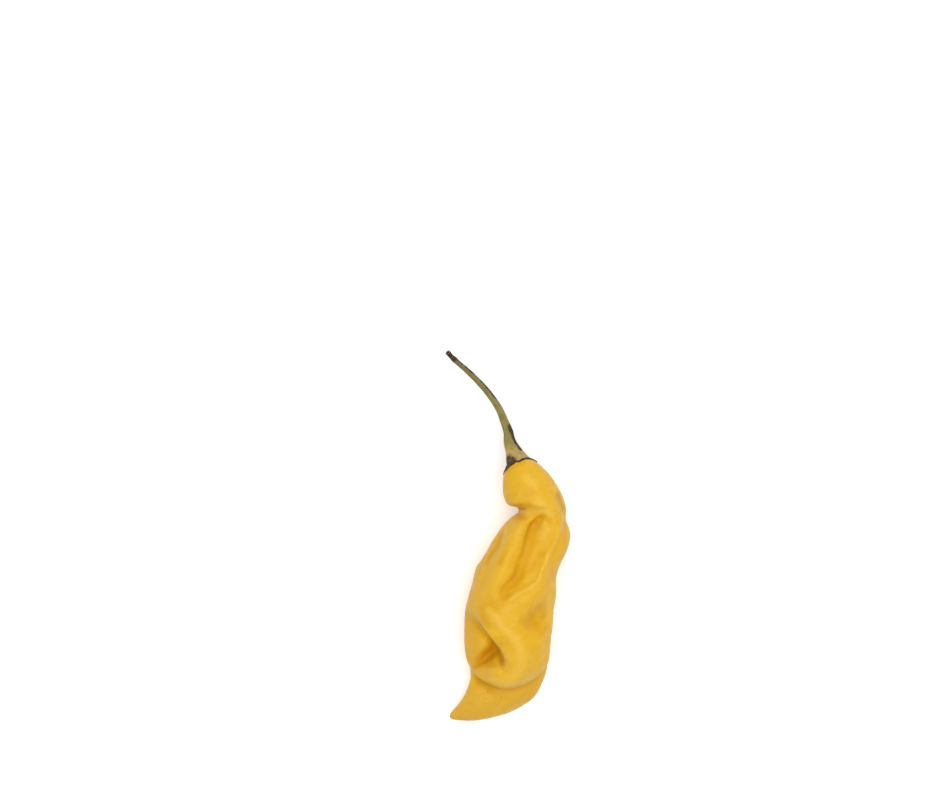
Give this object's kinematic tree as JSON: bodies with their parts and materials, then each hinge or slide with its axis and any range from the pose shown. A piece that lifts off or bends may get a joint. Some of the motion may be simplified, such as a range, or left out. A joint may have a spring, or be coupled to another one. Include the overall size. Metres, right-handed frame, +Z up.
{
  "type": "chilli pepper",
  "caption": "Wrinkled yellow lantern-type chilli pepper as picked, with calyx and curved stalk, lying on its side.",
  "frame": {"origin": "bottom centre of the pepper's bounding box, on the surface that it lies on", "axes": "+Z up, +Y along the pepper's length from the pod's tail towards the stalk's cut end, +X to the right as seen from above with +Y up the page"},
  "size_m": [0.035, 0.1055, 0.0223],
  "materials": {
    "pod_skin": "satin waxy skin",
    "calyx_skin": "dry matte, khaki to brown",
    "stalk_skin": "dry matte, olive green to brown"
  },
  "bodies": {
    "root": {"pod": "pod_skin", "calyx": "calyx_skin", "stalk": "stalk_skin"}
  },
  "joints": []
}
